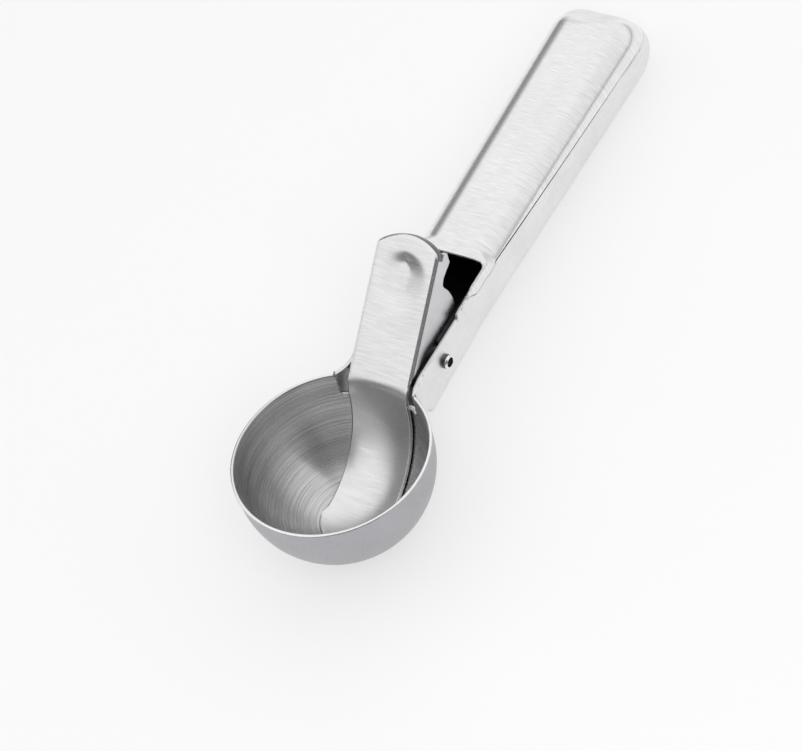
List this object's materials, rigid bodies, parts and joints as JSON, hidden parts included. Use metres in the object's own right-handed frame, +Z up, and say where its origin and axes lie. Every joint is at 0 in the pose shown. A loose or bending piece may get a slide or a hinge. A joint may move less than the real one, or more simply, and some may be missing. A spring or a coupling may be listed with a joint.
{
  "type": "ice cream scoop",
  "caption": "Ice cream scoop with a round bowl, a hollow handle and a sprung thumb lever whose curved blade sweeps the bowl.",
  "frame": {"origin": "centre of the bounding box's bottom, on the table that the bowl and the handle's far end rest on", "axes": "+X from the bowl to the handle's far end, +Z up, out of the bowl's mouth"},
  "size_m": [0.1856, 0.055, 0.0488],
  "materials": {
    "bowl_steel": "stainless steel, turned inside with fine rings, satin outside",
    "handle_steel": "stainless steel, brushed across the handle",
    "lever_steel": "stainless steel, satin",
    "pin_steel": "stainless steel, bright",
    "spring_steel": "spring steel wire, bright"
  },
  "bodies": {
    "scoop_body": {"bowl": "bowl_steel", "handle_channel": "handle_steel", "handle_cover": "handle_steel", "pivot_pin": "pin_steel", "pivot_bush": "pin_steel", "pivot_washers": "pin_steel", "torsion_spring": "spring_steel"},
    "lever": {"thumb_lever": "lever_steel"}
  },
  "joints": [
    {"name": "lever_press", "type": "hinge", "parent": "scoop_body", "child": "lever", "pos_m": [-0.02599, 0, 0.02182], "axis": [0, 1, 0], "range_deg": [0, 32], "stiffness_Nm_per_rad": 0.3, "springref_deg": -22.92, "deforming": ["torsion_spring"]}
  ]
}
